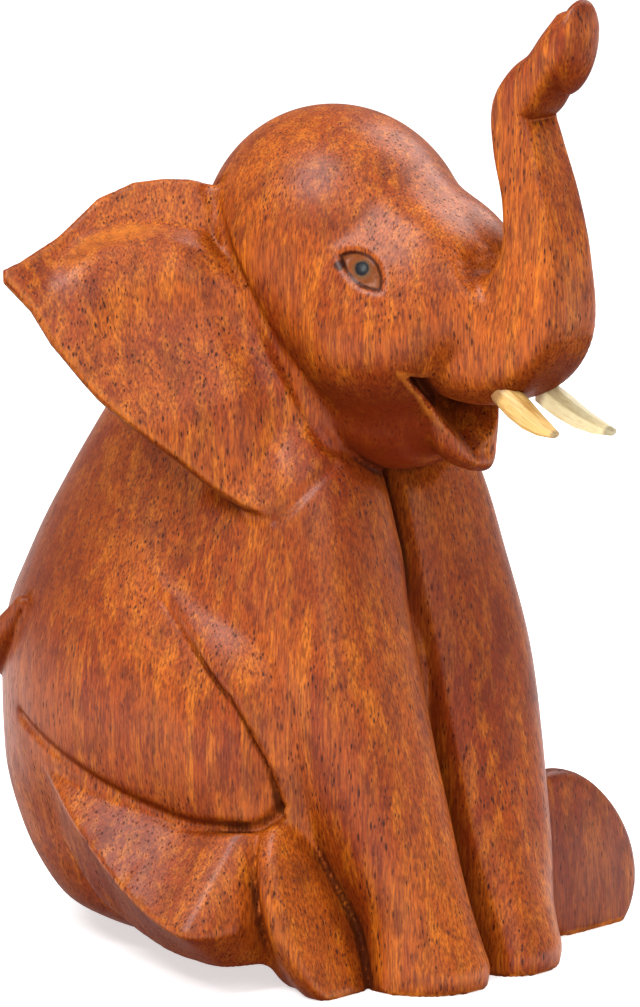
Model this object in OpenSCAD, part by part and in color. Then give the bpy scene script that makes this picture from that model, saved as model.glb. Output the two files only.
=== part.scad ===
// Sitting elephant figurine, carved from one block of hardwood, with two inserted tusks.
// The carver cuts body, head, trunk, ears, legs and tail from the same block, so they
// are one piece here. The tusks are whittled separately and glued into drilled sockets.
// Units are mm, +Z is up, the face looks toward -Y, and the flat sawn underside rests
// on z = 0. The origin is under the middle of the left-to-right width.

/* [Carving] */
// Height from the flat underside to the top of the raised trunk, mm
height = 150; // [100:5:300]
// Half thickness of the ear shell at its outer edge, mm
ear_half_thickness = 1.2; // [0.9:0.1:2.0]
// Depth of the step under the folded top band of each ear, mm
ear_fold_depth = 2.1; // [0.5:0.1:3.0]
// How far the carved eyes stand out of the head, mm
eye_relief = 0.6; // [0.3:0.1:1.2]

/* [Tusks] */
// Visible length of each tusk from the wood to its blunt tip, mm
tusk_length = 12; // [8:0.5:16]
// Width of the whittled tusk where it leaves the wood, mm
tusk_root_width = 4.0; // [3.4:0.1:4.4]
// Width across the blunt tip, mm
tusk_tip_width = 1.8; // [1.0:0.1:2.6]
// Diameter of the hidden round tenon, mm
tenon_diameter = 2.6; // [2.0:0.1:3.0]
// Length of the hidden tenon, mm
tenon_length = 6; // [4:0.5:8]
// Clearance left for glue round the tenon, per side, mm
glue_gap = 0.05; // [0.02:0.01:0.15]

/* [Quality] */
// Points round the large sections
body_points = 36; // [24:4:36]
// Points round the limbs and trunk
limb_points = 20; // [16:4:20]

/* [Hidden] */

// every table below is written for a figurine this tall, then scaled to height
design_height = 152.4;
k = height / design_height;
wood = [0.60, 0.29, 0.13];
pale = [0.93, 0.84, 0.62];
right = -1;
left = 1;
span_steps = 2;
bend_steps = 3;
small_points = 12;

// Torso sections. [z, centre x, centre y, half width, half depth, squareness, squareness in front]
// The front half is squarer at belly height, where the flanks come forward to the knees.
torso = [
  [-2.0, 0, 14.0, 9.0, 20.0, 2.1, 2.1],
  [0.2, 0, 14.0, 13.5, 24.2, 2.1, 2.1],
  [2.0, 0, 14.1, 19.5, 27.8, 2.1, 2.1],
  [4.0, 0, 14.2, 24.6, 30.6, 2.1, 2.1],
  [6.5, 0, 14.6, 27.4, 33.2, 2.1, 2.1],
  [12.3, 0, 16.5, 29.8, 36.0, 2.1, 2.1],
  [18.8, 0, 17.8, 31.4, 37.8, 2.1, 2.5],
  [25.0, 0, 18.5, 33.2, 38.2, 2.1, 2.9],
  [31.0, 0, 18.6, 34.8, 38.1, 2.1, 2.9],
  [38.0, 0, 18.7, 35.4, 37.8, 2.1, 2.9],
  [44.5, 0, 18.9, 34.9, 37.6, 2.1, 2.8],
  [51.0, 0, 19.2, 33.6, 36.4, 2.1, 2.5],
  [57.4, 0, 19.3, 31.6, 33.8, 2.1, 2.3],
  [63.8, 0, 19.7, 28.8, 31.0, 2.1, 2.1],
  [70.3, 0, 19.9, 25.6, 27.5, 2.1, 2.1],
  [76.7, 0, 19.6, 22.6, 24.1, 2.1, 2.1],
  [84.0, 0, 18.2, 19.0, 20.2, 2.1, 2.1],
  [92.0, 0, 15.0, 16.0, 16.9, 2.1, 2.1],
  [98.0, 0, 12.0, 12.0, 13.0, 2.1, 2.1]
];

// Head sections from nape to brow. [y, centre x, centre z, half width, half height, squareness]
head = [
  [21.1, 0, 109.6, 4.0, 5.0, 2.0],
  [19.8, 0, 109.6, 8.0, 9.5, 2.0],
  [16.0, 0, 109.6, 12.4, 14.8, 2.0],
  [9.0, 0, 109.5, 16.6, 19.6, 2.0],
  [0.0, 0, 109.3, 18.8, 22.1, 2.05],
  [-8.0, 0, 108.1, 18.9, 21.7, 2.1],
  [-15.0, 0, 106.0, 18.2, 19.8, 2.15],
  [-21.0, 0, 103.6, 16.6, 17.0, 2.2],
  [-27.0, 0, 102.0, 13.4, 14.2, 2.2],
  [-32.0, 0, 102.0, 9.6, 11.8, 2.2],
  [-36.0, 0, 102.6, 6.6, 10.2, 2.2]
];

// Front leg, left side. [z, centre x, centre y, half width, half depth, squareness]
front_leg = [
  [-2.0, 8.7, -26.8, 8.7, 9.6, 2.8],
  [2.5, 8.7, -26.9, 8.9, 10.0, 2.8],
  [6.0, 8.9, -26.0, 8.8, 9.4, 2.7],
  [11.0, 9.3, -24.4, 9.1, 9.2, 2.6],
  [20.0, 10.5, -20.4, 10.4, 10.5, 2.6],
  [33.0, 12.0, -15.1, 11.9, 12.4, 2.6],
  [46.8, 12.7, -10.4, 12.8, 13.6, 2.6],
  [60.0, 12.0, -6.4, 12.4, 13.9, 2.6],
  [76.0, 10.6, -2.0, 11.4, 13.6, 2.4],
  [88.0, 8.6, 4.0, 9.2, 11.4, 2.2],
  [95.0, 7.0, 6.0, 4.0, 5.0, 2.2]
];

// Hind leg, left side, from rump to ankle. Three long edges run along it: the crease under
// the belly, the outer ridge and the lower edge.
// [y, crease x, crease z, ridge x, ridge z, lower x, lower z]
hind_leg = [
  [44.0, 24.0, 37.0, 25.0, 35.0, 22.0, 30.0],
  [36.0, 29.8, 36.2, 30.5, 32.5, 27.4, 24.2],
  [30.0, 30.9, 34.0, 33.0, 29.5, 29.0, 20.0],
  [20.6, 31.4, 30.4, 37.0, 23.7, 31.1, 12.5],
  [13.8, 31.2, 28.0, 39.0, 19.6, 32.2, 9.6],
  [6.7, 31.0, 25.8, 40.5, 15.5, 33.3, 7.3],
  [-0.7, 30.6, 24.3, 41.5, 12.0, 34.2, 5.5],
  [-8.2, 30.4, 23.9, 41.9, 10.2, 33.5, 3.9],
  [-12.0, 28.4, 25.1, 38.5, 10.5, 31.1, 4.0],
  [-14.2, 27.6, 25.4, 34.3, 12.9, 29.8, 4.2],
  [-20.5, 27.2, 25.2, 31.8, 14.4, 28.0, 4.8]
];
leg_inner_x = 16;
leg_edge_rounding = 0.7;
// the right ankle is drawn in toward the middle by this much
right_ankle_shift = 2;

// Hind feet, no two alike. [centre x, centre z, half length, half width, lean outward, lean back]
foot_right = [22.0, 12.5, 13.8, 8.8, 8, 0.38];
foot_left = [30.4, 12.4, 15.6, 12.8, -45, 0.10];
foot_sole_y = -24.8;
// the pad keeps low behind the sole: its centre drops by this share of the lost half length
heel_drop = 0.6;
// The pad from ankle to sole. [distance behind the sole, share of full size]
foot_pad = [
  [12.0, 0.50],
  [8.0, 0.64],
  [4.5, 0.88],
  [2.4, 0.99],
  [1.0, 0.96],
  [0.2, 0.84],
  [0.0, 0.60]
];

// Trunk from inside the head to the nozzle. [x, y, z, half width, half depth, squareness]
trunk = [
  [0, -14.0, 104.0, 13.0, 13.0, 2.3],
  [0, -25.0, 101.4, 10.8, 11.2, 2.7],
  [0, -34.5, 100.7, 8.6, 10.1, 3.6],
  [0, -41.0, 104.4, 6.8, 9.2, 4.6],
  [0, -43.5, 112.4, 5.5, 6.0, 5.4],
  [0, -42.4, 121.0, 4.9, 5.0, 5.6],
  [0, -39.6, 129.0, 4.4, 4.6, 5.4],
  [0, -38.2, 134.6, 4.3, 4.1, 4.6],
  [0, -41.4, 138.2, 4.4, 4.2, 3.4],
  [0, -44.2, 141.6, 4.4, 4.2, 2.8],
  [0, -46.6, 145.4, 4.2, 4.2, 2.5],
  [0, -48.8, 148.6, 3.6, 3.2, 2.3]
];

// Cut face at the end of the trunk, an upright oval whose lower lip overhangs.
nozzle_centre = [0, -48.9, 145.1];
nozzle_size = [4.5, 2.2, 7.4];
nozzle_lean = 10.7;

// Lower jaw from throat to chin. [x, y, z, half width, half height, squareness]
jaw = [
  [0, 4.0, 90.0, 13.0, 12.0, 2.2],
  [0, -8.0, 88.2, 12.8, 11.3, 2.2],
  [0, -16.0, 87.3, 11.8, 10.2, 2.2],
  [0, -22.0, 87.4, 9.9, 8.4, 2.2],
  [0, -26.6, 86.4, 6.8, 6.0, 2.2],
  [0, -29.6, 85.6, 3.4, 3.0, 2.2]
];

// Rim of the lower lip, left side, from the corner of the mouth to the chin.
// [x, y, z, half thickness, half thickness, squareness]
lip = [
  [9.8, -20.0, 96.0, 1.4, 1.4, 2.0],
  [10.0, -23.6, 94.4, 1.9, 1.9, 2.0],
  [9.0, -26.4, 91.0, 2.0, 2.0, 2.0],
  [6.6, -27.7, 86.2, 2.1, 2.1, 2.0],
  [3.4, -28.6, 82.4, 2.1, 2.1, 2.0],
  [-0.6, -28.9, 80.8, 2.0, 2.0, 2.0]
];

// Tail in low relief, down the back and curled round to the right hip.
// [x, y, z, half width, half depth, squareness]
tail = [
  [0, 53.8, 64.0, 1.4, 1.4, 2.0],
  [0, 54.8, 60.0, 1.9, 1.9, 2.0],
  [-2.5, 56.0, 50.0, 1.8, 1.8, 2.0],
  [-8.0, 54.4, 42.0, 1.7, 1.7, 2.0],
  [-16.0, 50.6, 39.0, 1.7, 1.7, 2.0],
  [-22.8, 45.6, 42.0, 1.9, 1.9, 2.0],
  [-26.6, 41.2, 47.0, 2.5, 2.5, 2.0],
  [-28.2, 38.4, 52.0, 1.5, 1.5, 2.0]
];

// Ear plane, left side: a point on it, then its outward, upward and front directions.
ear_origin = [19.5, 2.5, 100.0];
ear_out = unit([0.767, 0.559, -0.316]);
ear_front = unit(cross([-0.035, 0.529, 0.848], ear_out));
ear_up = cross(ear_out, ear_front);

// Ear outline in that plane. [distance outward, lower edge, upper edge]
ear_sections = [
  [-9.0, -23.0, 18.5],
  [-7.0, -24.4, 20.0],
  [-4.8, -26.0, 21.5],
  [-2.5, -27.6, 23.1],
  [-0.6, -28.9, 24.1],
  [1.2, -30.0, 24.8],
  [3.0, -30.8, 25.3],
  [4.4, -30.4, 25.7],
  [6.4, -28.7, 26.0],
  [8.4, -26.9, 26.0],
  [10.3, -24.6, 25.9],
  [12.2, -22.2, 25.6],
  [15.0, -18.0, 24.5],
  [18.3, -13.6, 23.0],
  [21.4, -9.2, 21.7],
  [24.2, -5.0, 20.8],
  [25.6, 0.6, 20.3],
  [26.6, 6.0, 20.0],
  [28.6, 11.2, 19.1],
  [30.0, 16.6, 17.6]
];
ear_steps = 12;
ear_fold_top = 19.8;
ear_fold_bend = 0.03;
ear_fold_centre = 13;
ear_sweep_back = 0.0042;

// Tusk placing, left side: where its axis leaves the wood and the point it aims at.
tusk_root = [5.0, -39.8, 91.9];
tusk_aim = [6.6, -51.0, 86.9];
// the left tusk was set lower than the right one
right_tusk_drop = -0.3;
left_tusk_drop = 0.9;
tusk_seat = 1.0;
tusk_facets = 8;

// Eye placing, left side: centre, outward tilt and slope, and half sizes of the almond.
eye_centre = [15.5, -20.2, 110.3];
eye_turn = 60;
eye_slope = 24;
eye_size = [3.4, 1.4, 2.4];

function unit(v) = v / norm(v);

// Catmull-Rom point between b and c
function between(a, b, c, d, t) =
  0.5 * (2 * b + (c - a) * t + (2 * a - 5 * b + 4 * c - d) * t * t
    + (3 * b - a - 3 * c + d) * t * t * t);

// rows of a table with smooth rows added between them
function smooth(rows, steps) = let (last = len(rows) - 1) [
  for (i = [0 : last - 1], s = [0 : steps - 1])
    between(
      i == 0 ? 2 * rows[0] - rows[1] : rows[i - 1],
      rows[i],
      rows[i + 1],
      i == last - 1 ? 2 * rows[last] - rows[last - 1] : rows[i + 2],
      s / steps
    ),
  rows[last]
];

function signed_pow(v, p) = sign(v) * pow(abs(v), p);

// superellipse outline; squareness 2 is an ellipse, larger is boxier
function oval(a, b, squareness, points) = [
  for (i = [0 : points - 1])
    let (t = 360 * i / points)
      [a * signed_pow(cos(t), 2 / squareness), b * signed_pow(sin(t), 2 / squareness)]
];

// outline with its own squareness in the front half, toward -Y
function two_way_oval(a, b, back, front, points) = [
  for (i = [0 : points - 1])
    let (t = 360 * i / points, n = sin(t) < 0 ? front : back)
      [a * signed_pow(cos(t), 2 / n), b * signed_pow(sin(t), 2 / n)]
];

function place(centre, u, v, outline) = [for (p = outline) centre + u * p[0] + v * p[1]];

// level sections stacked upward
function stack_rings(rows, points) = [
  for (r = smooth(rows, span_steps))
    place([r[1], r[2], r[0]], [1, 0, 0], [0, 1, 0], oval(r[3], r[4], r[5], points))
];

function torso_rings() = [
  for (r = smooth(torso, span_steps))
    place([r[1], r[2], r[0]], [1, 0, 0], [0, 1, 0], two_way_oval(r[3], r[4], r[5], r[6], body_points))
];

// upright sections stacked from back to front
function face_rings(rows, points) = [
  for (r = smooth(rows, span_steps))
    place([r[1], r[0], r[2]], [1, 0, 0], [0, 0, 1], oval(r[3], r[4], r[5], points))
];

// sections square to a curved centre line
function path_rings(rows, points, steps = span_steps) =
  let (s = smooth(rows, steps), last = len(s) - 1, c = [for (r = s) [r[0], r[1], r[2]]]) [
    for (i = [0 : last])
      let (
        t = unit(c[min(i + 1, last)] - c[max(i - 1, 0)]),
        u = unit([1, 0, 0] - t[0] * t),
        v = cross(t, u)
      )
        place(c[i], u, v, oval(s[i][3], s[i][4], s[i][5], points))
  ];

// closed solid through a list of rings with equal point counts
module loft(rings) {
  n = len(rings[0]);
  last = len(rings) - 1;
  points = [for (ring = rings, p = ring) p];
  sides = [
    for (i = [0 : last - 1], j = [0 : n - 1])
      let (m = (j + 1) % n)
        each [
          [i * n + j, (i + 1) * n + j, i * n + m],
          [i * n + m, (i + 1) * n + j, (i + 1) * n + m]
        ]
  ];
  first_end = [for (j = [0 : n - 1]) j];
  last_end = [for (j = [n - 1 : -1 : 0]) last * n + j];
  polyhedron(points, concat(sides, [first_end, last_end]));
}

module on_side(side) {
  if (side == left)
    children();
  else
    mirror([1, 0, 0]) children();
}

module both_sides() {
  on_side(left) children();
  on_side(right) children();
}

function ease(a, b, x) = let (t = min(1, max(0, (x - a) / (b - a)))) t * t * (3 - 2 * t);

// how far the middle of the ear shell stands in front of the ear plane
function ear_rise(u, v) =
  let (
    over_fold = v - (ear_fold_top - ear_fold_bend * pow(u - ear_fold_centre, 2)),
    inside_tip = 1 - ease(18, 28, u),
    step = ear_fold_depth * ease(-2.0, 1.2, over_fold) * inside_tip,
    hollow = -1.9 * inside_tip * exp(-pow((over_fold + 7.5) / 6, 2)),
    root_band = 1.9 * (1 - ease(-2.5, 5, u)) * (1 - ease(6, 20, v)),
    lobe = 4.6 * (1 - ease(-26, -9, v))
  )
    step + hollow + root_band + lobe - ear_sweep_back * u * u;

function ear_half(u) = ear_half_thickness + 0.9 * (1 - ease(-8, 10, u));

// point on one face of the ear shell; face is 1 for front and -1 for back
function ear_point(section, s, face) =
  let (
    u = section[0],
    v = section[1] + (section[2] - section[1]) * (1 - cos(180 * s)) / 2,
    w = ear_rise(u, v) + face * ear_half(u) * pow(sin(180 * s), 0.5)
  )
    ear_origin + u * ear_out + v * ear_up + w * ear_front;

function ear_ring(section) = [
  for (i = [0 : ear_steps]) ear_point(section, i / ear_steps, 1),
  for (i = [ear_steps - 1 : -1 : 1]) ear_point(section, i / ear_steps, -1)
];

module ear_shell() {
  loft([for (section = ear_sections) ear_ring(section)]);
}

module eye_relief_shape() {
  translate(eye_centre)
    rotate([0, 0, eye_turn - 90])
      rotate([0, eye_slope, 0])
        scale([eye_size[0], eye_size[1] + eye_relief, eye_size[2]])
          sphere(r = 1, $fn = small_points + 4);
}

// pairs of points a little to each side of every corner, so the edges are softened
function softened(corners) = let (n = len(corners)) [
  for (i = [0 : n - 1])
    let (
      c = corners[i],
      before = corners[(i + n - 1) % n] - c,
      after = corners[(i + 1) % n] - c,
      cut = min(leg_edge_rounding, norm(before) / 3, norm(after) / 3)
    )
      each [c + cut * unit(before), c + cut * unit(after)]
];

function leg_ring(r, shift) =
  let (
    in_by = shift * ease(-2, 12, -r[0]),
    corners = [
      [leg_inner_x, r[6]],
      [r[5] - in_by, r[6]],
      [r[3] - in_by, r[4]],
      [r[1] - in_by, r[2]],
      [leg_inner_x, r[2]]
    ]
  )
    [for (p = softened(corners)) [p[0], r[0], p[1]]];

module hind_leg_shape(shift) {
  loft([for (r = smooth(hind_leg, span_steps)) leg_ring(r, shift)]);
}

// one section of a foot pad, so far behind the sole, at a share of full size
function foot_ring(foot, behind, share) = [
  for (p = oval(foot[3] * share, foot[2] * share, 2.1, limb_points))
    let (
      x = p[0] * cos(foot[4]) + p[1] * sin(foot[4]),
      z = foot[1] - heel_drop * foot[2] * (1 - share) - p[0] * sin(foot[4]) + p[1] * cos(foot[4])
    )
      [foot[0] + x, foot_sole_y + behind + foot[5] * z, z]
];

module foot_shape(foot) {
  loft([for (r = foot_pad) foot_ring(foot, r[0], r[1])]);
}

// Wedge cut between upper lip and jaw, left half: its back face, then its front face. It
// leaves the open, pointed lower lip.
mouth_back_top = [8.7, -22.5, 95.2];
mouth_back_low = [0, -22.5, 88.5];
mouth_front_top = [20.5, -44, 86.3];
mouth_front_low = [0, -44, 70.4];

module mouth_wedge() {
  to_right = [-1, 1, 1];
  points = [
    [for (i = [0 : 2]) mouth_back_top[i] * to_right[i]],
    mouth_back_top,
    mouth_front_top,
    [for (i = [0 : 2]) mouth_front_top[i] * to_right[i]],
    mouth_back_low,
    mouth_front_low
  ];
  top_and_ends = [[0, 1, 2], [0, 2, 3], [0, 4, 1], [3, 2, 5]];
  walls = [[0, 3, 5], [0, 5, 4], [1, 5, 2], [1, 4, 5]];
  polyhedron(points, concat(top_and_ends, walls));
}

module nozzle_face() {
  translate(nozzle_centre)
    rotate([nozzle_lean, 0, 0])
      scale(nozzle_size)
        sphere(r = 1, $fn = 2 * small_points);
}

module resting_block() {
  half = design_height;
  translate([-half, -half, 0])
    cube([2 * half, 2 * half, 2 * half]);
}

// the whole sculpted form before the tusk sockets are drilled
module sculpted_form() {
  intersection() {
    resting_block();
    union() {
      loft(torso_rings());
      difference() {
        union() {
          loft(face_rings(head, body_points));
          loft(path_rings(jaw, limb_points));
          both_sides()
            loft(path_rings(lip, small_points));
        }
        mouth_wedge();
      }
      loft(path_rings(trunk, limb_points, bend_steps));
      nozzle_face();
      loft(path_rings(tail, small_points));
      both_sides() {
        loft(stack_rings(front_leg, limb_points));
        ear_shell();
        eye_relief_shape();
      }
      on_side(left) {
        hind_leg_shape(0);
        foot_shape(foot_left);
      }
      on_side(right) {
        hind_leg_shape(right_ankle_shift);
        foot_shape(foot_right);
      }
    }
  }
}

// moves its children from the origin, pointing along +Z, onto a tusk axis
module on_tusk_axis(side) {
  aim = tusk_aim - tusk_root;
  lean = acos(aim[2] / norm(aim));
  turn = atan2(aim[1], side * aim[0]);
  drop = side == left ? left_tusk_drop : right_tusk_drop;
  translate([side * tusk_root[0], tusk_root[1], tusk_root[2] - drop] * k)
    rotate([0, lean, turn])
      children();
}

// round blind hole for the tenon, with a shallow seat for the root of the tusk
module tusk_socket(side) {
  seat_width = tusk_root_width + 4 * glue_gap;
  on_tusk_axis(side) {
    translate([0, 0, -(tenon_length + tusk_seat) - glue_gap])
      cylinder(d = tenon_diameter + 2 * glue_gap, h = tenon_length + 2 * tusk_seat, $fn = 48);
    translate([0, 0, -tusk_seat])
      cylinder(d = seat_width, h = 3 * tusk_seat, $fn = 48);
  }
}

// Whittled blade sections. [share of visible length, lift, share of the taper from root to tip]
blade = [
  [0.00, 0.00, 0.00],
  [0.25, -0.15, 0.06],
  [0.50, -0.20, 0.28],
  [0.75, -0.05, 0.62],
  [0.94, 0.25, 0.92],
  [1.00, 0.35, 1.25]
];
blade_flatness = 0.92;

function blade_ring(row) =
  let (
    width = tusk_root_width + (tusk_tip_width - tusk_root_width) * row[2],
    z = row[0] * (tusk_length + tusk_seat) - tusk_seat
  ) [
    for (i = [0 : tusk_facets - 1])
      let (t = 360 * (i + 0.5) / tusk_facets)
        [width / 2 * cos(t) - row[1], width / 2 * blade_flatness * sin(t), z]
  ];

module tusk(side) {
  color(pale)
    on_tusk_axis(side) {
      loft([for (row = blade) blade_ring(row)]);
      translate([0, 0, -(tenon_length + tusk_seat)])
        cylinder(d = tenon_diameter, h = tenon_length + tusk_seat / 2, $fn = 48);
    }
}

module carved_body() {
  color(wood)
    difference() {
      resize([0, 0, height], auto = true)
        sculpted_form();
      tusk_socket(right);
      tusk_socket(left);
    }
}

module tusk_right() {
  tusk(right);
}

module tusk_left() {
  tusk(left);
}

carved_body();
tusk_right();
tusk_left();
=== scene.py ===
"""Looks for the carved wooden elephant: one block of stained hardwood and two whittled tusks."""
import math

import bpy
import numpy as np
from mathutils import Matrix, Vector


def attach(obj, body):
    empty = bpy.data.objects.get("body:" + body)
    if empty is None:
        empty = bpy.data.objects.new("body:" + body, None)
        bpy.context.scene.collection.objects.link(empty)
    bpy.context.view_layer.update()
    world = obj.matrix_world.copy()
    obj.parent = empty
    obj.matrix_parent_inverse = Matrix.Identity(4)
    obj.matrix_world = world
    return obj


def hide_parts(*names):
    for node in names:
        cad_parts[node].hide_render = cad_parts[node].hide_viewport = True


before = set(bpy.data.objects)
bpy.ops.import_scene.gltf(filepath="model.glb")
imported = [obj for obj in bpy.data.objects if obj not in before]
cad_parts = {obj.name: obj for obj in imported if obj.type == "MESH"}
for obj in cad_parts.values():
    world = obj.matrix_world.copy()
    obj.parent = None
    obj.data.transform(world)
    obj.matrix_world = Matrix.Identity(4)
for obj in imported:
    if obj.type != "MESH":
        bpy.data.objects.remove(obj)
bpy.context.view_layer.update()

DRAWN_HEIGHT = 152.4                    # the tables below are drawn this tall
REAL_HEIGHT = 150.0
MM = 0.001 * REAL_HEIGHT / DRAWN_HEIGHT
# all the carving below is worked out in millimetres, +Z up, the elephant facing -Y
CELL = 0.62      # spacing of the grid that the surface is taken from
MAX_TRIANGLES = 186000                  # the finished body is thinned to this many


# ---------------------------------------------------------------- distance field helpers
def smin(a, b, k):
    h = np.clip(0.5 + 0.5 * (b - a) / k, 0, 1)
    return b + (a - b) * h - k * h * (1 - h)


def smax(a, b, k):
    return -smin(-a, -b, k)


def sstep(a, b, x):
    t = np.clip((x - a) / (b - a), 0, 1)
    return t * t * (3 - 2 * t)


def spline(rows, steps=8):
    """A smooth curve through the rows of a table (Catmull-Rom)."""
    r = np.array(rows, float)
    p = np.vstack([2 * r[0] - r[1], r, 2 * r[-1] - r[-2]])
    out = []
    for i in range(1, len(p) - 2):
        for k in range(steps):
            t = k / steps
            out.append(0.5 * (2 * p[i] + (p[i + 1] - p[i - 1]) * t
                              + (2 * p[i - 1] - 5 * p[i] + 4 * p[i + 1] - p[i + 2]) * t * t
                              + (3 * p[i] - p[i - 1] - 3 * p[i + 1] + p[i + 2]) * t ** 3))
    out.append(r[-1])
    return np.array(out)


def table(rows, s):
    """Columns 1.. of the table, read smoothly at the values s of column 0."""
    t = spline(rows, 10)
    o = np.argsort(t[:, 0])
    return [np.interp(s, t[o, 0], t[o, i]) for i in range(1, t.shape[1])]


def ell(p, c, r):
    q = p - np.array(c, float)
    r = np.array(r, float)
    k0 = np.sqrt(((q / r) ** 2).sum(1))
    k1 = np.sqrt(((q / r ** 2) ** 2).sum(1))
    return k0 * (k0 - 1) / np.maximum(k1, 1e-9)


def superd(u, v, ru, rv, n):
    """Nearly the distance to a rounded-square outline of half sizes ru, rv."""
    au, av = np.abs(u) / ru, np.abs(v) / rv
    s = np.maximum(au ** n + av ** n, 1e-12)
    m = s ** (1 / n)
    gu = s ** (1 / n - 1) * au ** (n - 1) / ru
    gv = s ** (1 / n - 1) * av ** (n - 1) / rv
    g = np.sqrt(gu ** 2 + gv ** 2)
    return (m - 1) / np.maximum(g, 0.5 / np.maximum(ru, rv))


def stack(p, rows, cap, squarer=0.0):
    """Sections stacked up Z. Each row: z, centre x, centre y, half x, half y, squareness."""
    s = p[:, 2]
    lo, hi = rows[0][0], rows[-1][0]
    c1, c2, r1, r2, n = table(rows, np.clip(s, lo, hi))
    n = n + squarer
    d = superd(p[:, 0] - c1, p[:, 1] - c2, r1, r2, n)
    over = np.maximum(s - hi, lo - s)
    length = np.where(s > hi, cap[1], cap[0])
    m = np.minimum(r1, r2)
    q = np.sqrt(np.maximum(d + m, 0) ** 2 + (np.maximum(over, 0) * m / length) ** 2) - m
    return np.where(over > 0, q, d)


def sweep(p, rows, steps=6, caps=(1.0, 1.0)):
    """Sections along a curved path. Each row: x, y, z, half width, half height, squareness."""
    s = spline(rows, steps)
    c = s[:, :3]
    t = np.gradient(c, axis=0)
    t /= np.linalg.norm(t, axis=1, keepdims=True)
    across = np.array((1.0, 0.0, 0.0))
    u = across - (t @ across)[:, None] * t
    u /= np.linalg.norm(u, axis=1, keepdims=True)
    v = np.cross(t, u)
    best = np.full(len(p), 1e18)
    bi = np.zeros(len(p), int)
    bt = np.zeros(len(p))
    for i in range(len(c) - 1):
        d = c[i + 1] - c[i]
        q = p - c[i]
        w = np.clip(q @ d / (d @ d), 0, 1)
        e2 = ((q - w[:, None] * d) ** 2).sum(1)
        m = e2 < best
        best[m] = e2[m]
        bi[m] = i
        bt[m] = w[m]
    w = bt[:, None]

    def at(a):
        return a[bi] * (1 - w) + a[bi + 1] * w

    r = at(s[:, 3:])
    q = p - at(c)
    qu, qv, qt = (q * at(u)).sum(1), (q * at(v)).sum(1), (q * at(t)).sum(1)
    d = superd(qu, qv, r[:, 0], r[:, 1], r[:, 2])
    m = np.minimum(r[:, 0], r[:, 1])
    first = (bi == 0) & (bt <= 0)
    last = (bi == len(c) - 2) & (bt >= 1)
    k = np.where(first, caps[0], caps[1])
    over = np.where(first, np.maximum(-qt, 0), np.where(last, np.maximum(qt, 0), 0))
    rounded = np.sqrt(np.maximum(d + m, 0) ** 2 + (over / k) ** 2) - m
    return np.where(over > 0, rounded, d)


def near(p, lo, hi, f, pad):
    """f near its box. Further away than pad, the distance to the box will do."""
    q = np.maximum(np.maximum(np.array(lo, float) - p, p - np.array(hi, float)), 0)
    d = np.sqrt((q ** 2).sum(1))
    m = d < pad
    out = d + 0.0
    if m.any():
        out[m] = f(p[m])
    return out


def along(p, rows, steps=6):
    """Distance to a smooth line through the rows."""
    c = spline(rows, steps)
    best = np.full(len(p), 1e18)
    for a, b in zip(c[:-1], c[1:]):
        d = b - a
        q = p - a
        w = np.clip(q @ d / (d @ d), 0, 1)
        best = np.minimum(best, ((q - w[:, None] * d) ** 2).sum(1))
    return np.sqrt(best)


def groove(p, rows, depth, width):
    """How far a V tool following the line cuts in."""
    r = np.array(rows, float)
    out = np.zeros(len(p))
    m = ((p > r.min(0) - 3 * width) & (p < r.max(0) + 3 * width)).all(1)
    if m.any():
        out[m] = depth * np.exp(-(along(p[m], rows) / width) ** 2)
    return out


def outline_d(u, v, poly):
    """Signed distance to a closed outline, negative inside."""
    d = np.full(len(u), 1e18)
    inside = np.zeros(len(u), bool)
    for a, b in zip(poly, np.roll(poly, -1, axis=0)):
        e = b - a
        wx, wy = u - a[0], v - a[1]
        t = np.clip((wx * e[0] + wy * e[1]) / (e @ e), 0, 1)
        d = np.minimum(d, (wx - e[0] * t) ** 2 + (wy - e[1] * t) ** 2)
        cross = (a[1] > v) != (b[1] > v)
        inside ^= cross & (u < (b[0] - a[0]) * (v - a[1]) / (b[1] - a[1] + 1e-18) + a[0])
    return np.where(inside, -1, 1) * np.sqrt(d)


def mirror(p):
    return np.stack([np.abs(p[:, 0]), p[:, 1], p[:, 2]], 1)


# ---------------------------------------------------------------- the parts of the carving
TORSO = [  # z, centre x, centre y, half x, half y, squareness
    (-2, 0, 14, 9, 20, 2.1),
    (0.2, 0, 14, 13.5, 24.2, 2.1),
    (2, 0, 14.1, 19.5, 27.8, 2.1),
    (4, 0, 14.2, 24.6, 30.6, 2.1),
    (6.5, 0, 14.8, 28.0, 33.7, 2.1),
    (12.3, 0, 16.6, 30.3, 36.4, 2.1),
    (18.8, 0, 17.8, 31.8, 38.2, 2.1),
    (25, 0, 18.5, 33.5, 38.5, 2.1),
    (31, 0, 18.6, 34.8, 38.1, 2.1),
    (38, 0, 18.7, 35.4, 37.8, 2.1),
    (44.5, 0, 18.9, 34.9, 37.6, 2.1),
    (51, 0, 19.2, 33.6, 36.4, 2.1),
    (57.4, 0, 19.3, 31.4, 33.6, 2.1),
    (63.8, 0, 19.6, 28.4, 30.6, 2.1),
    (70.3, 0, 19.7, 25.2, 27.1, 2.1),
    (76.7, 0, 19.4, 22.2, 23.7, 2.1),
    (84, 0, 18.2, 19, 20.2, 2.1),
    (92, 0, 15, 16, 16.9, 2.1),
    (98, 0, 12, 12, 13, 2.1),
]

FLANK_FULL = 1.0        # how much squarer the section is where the flanks come forward to the knees

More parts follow.
